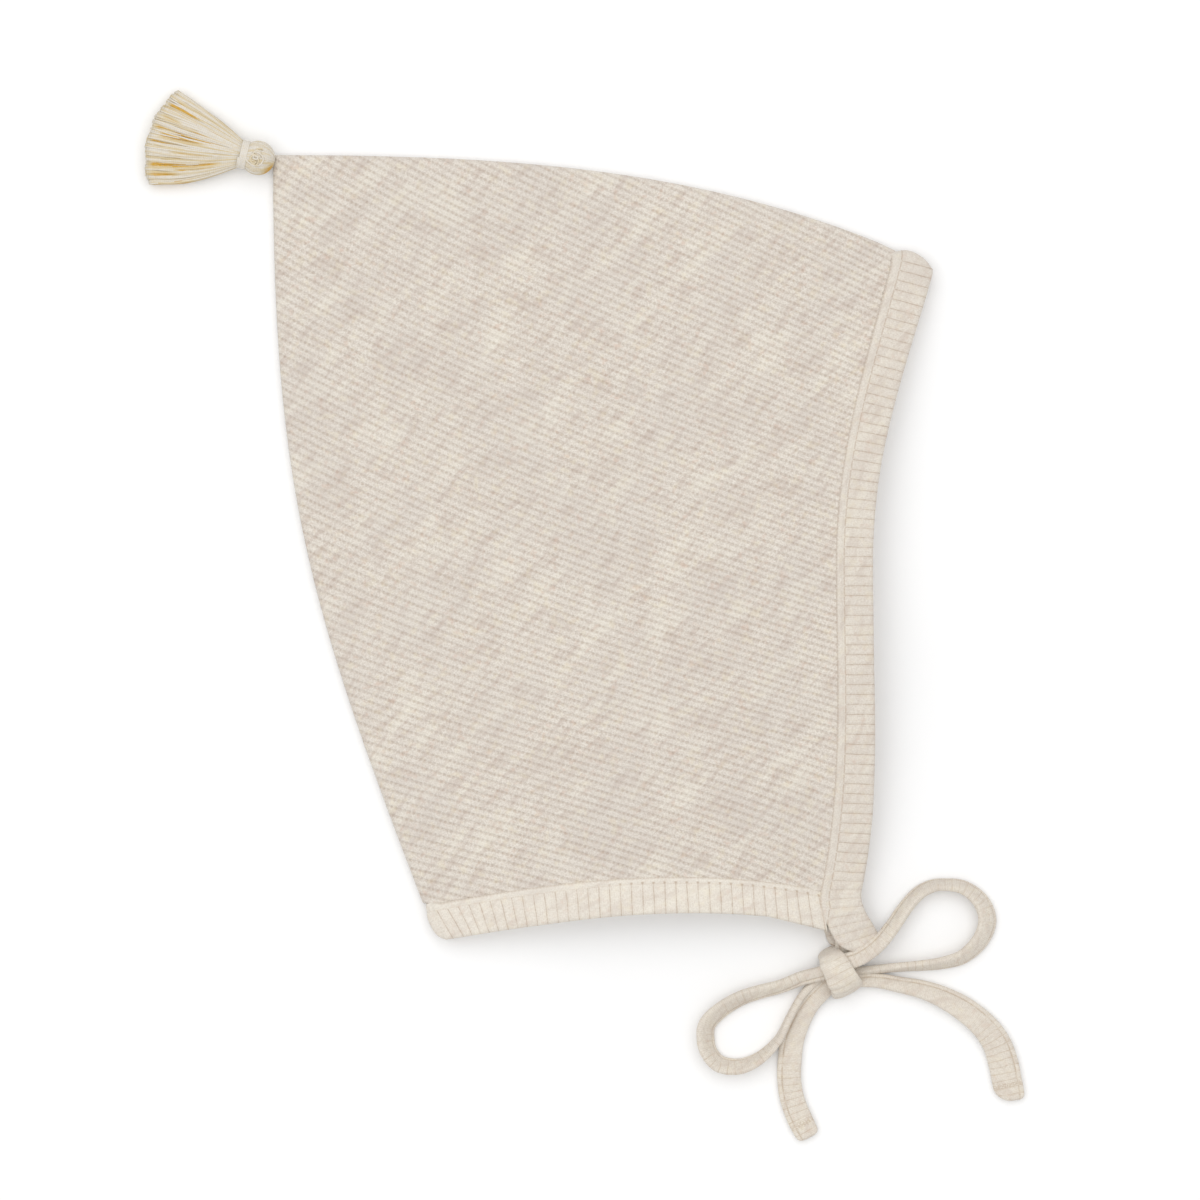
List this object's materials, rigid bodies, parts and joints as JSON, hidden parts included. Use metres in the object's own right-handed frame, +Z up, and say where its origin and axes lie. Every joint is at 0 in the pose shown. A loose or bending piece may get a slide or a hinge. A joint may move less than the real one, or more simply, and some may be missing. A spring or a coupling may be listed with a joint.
{
  "type": "nightcap",
  "caption": "Baby's pixie nightcap of ribbed jersey lying flat on its side, with folded rib bindings, ties knotted in a bow and a thread tassel at the point.",
  "frame": {"origin": "middle of the bounding box seen from above, on the surface that the cap lies on", "axes": "+X from the back of the cap to its face opening, +Y from the neck opening to the point, +Z up from the surface that the cap lies on"},
  "size_m": [0.2282, 0.2744, 0.0135],
  "materials": {
    "jersey": "matte heather rib jersey",
    "rib": "matte folded rib binding",
    "thread": "cream thread with a slight sheen"
  },
  "bodies": {
    "root": {"hood_near": "jersey", "hood_far": "jersey", "face_band": "rib", "neck_band": "rib", "tie_root_near": "rib", "tie_root_far": "rib", "bow_knot": "rib", "bow_loop_left": "rib", "bow_loop_right": "rib", "tie_end_left": "rib", "tie_end_right": "rib", "tassel": "thread", "tassel_binding": "thread"}
  },
  "joints": []
}
